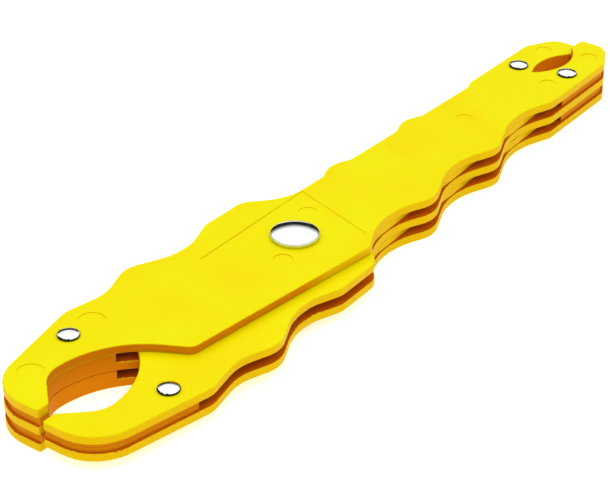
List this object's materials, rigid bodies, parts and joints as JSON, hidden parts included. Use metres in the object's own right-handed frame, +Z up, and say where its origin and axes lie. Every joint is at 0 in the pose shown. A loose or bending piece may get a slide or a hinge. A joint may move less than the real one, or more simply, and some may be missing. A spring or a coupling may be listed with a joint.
{
  "type": "double-ended fuse puller",
  "caption": "Double-ended laminated plastic fuse puller: two interleaved halves turn on a domed pivot rivet, with a large ring jaw at one end and a small one at the other.",
  "frame": {"origin": "middle of the length and width, on the flat underside", "axes": "+X along the tool from the large jaws to the small jaws, +Z up through the layers along the pivot, -Y the side where half B's large jaw is"},
  "size_m": [0.1872, 0.0384, 0.0115],
  "materials": {
    "yellow_plastic": "smooth moulded, semi-gloss",
    "nickel": "bright nickel plate"
  },
  "bodies": {
    "half_a": {"top_plate_a": "yellow_plastic", "middle_plate_a": "yellow_plastic", "bottom_plate_a": "yellow_plastic", "pivot_rivet": "nickel", "large_jaw_rivet_a": "nickel", "small_jaw_rivet_a": "nickel"},
    "half_b": {"upper_plate_b": "yellow_plastic", "lower_plate_b": "yellow_plastic", "large_jaw_rivet_b": "nickel", "small_jaw_rivet_b": "nickel"}
  },
  "joints": [
    {"name": "jaw_pivot", "type": "hinge", "parent": "half_a", "child": "half_b", "pos_m": [-0.0178, 0, 0.00475], "axis": [0, 0, 1], "range_deg": [0, 30]}
  ]
}
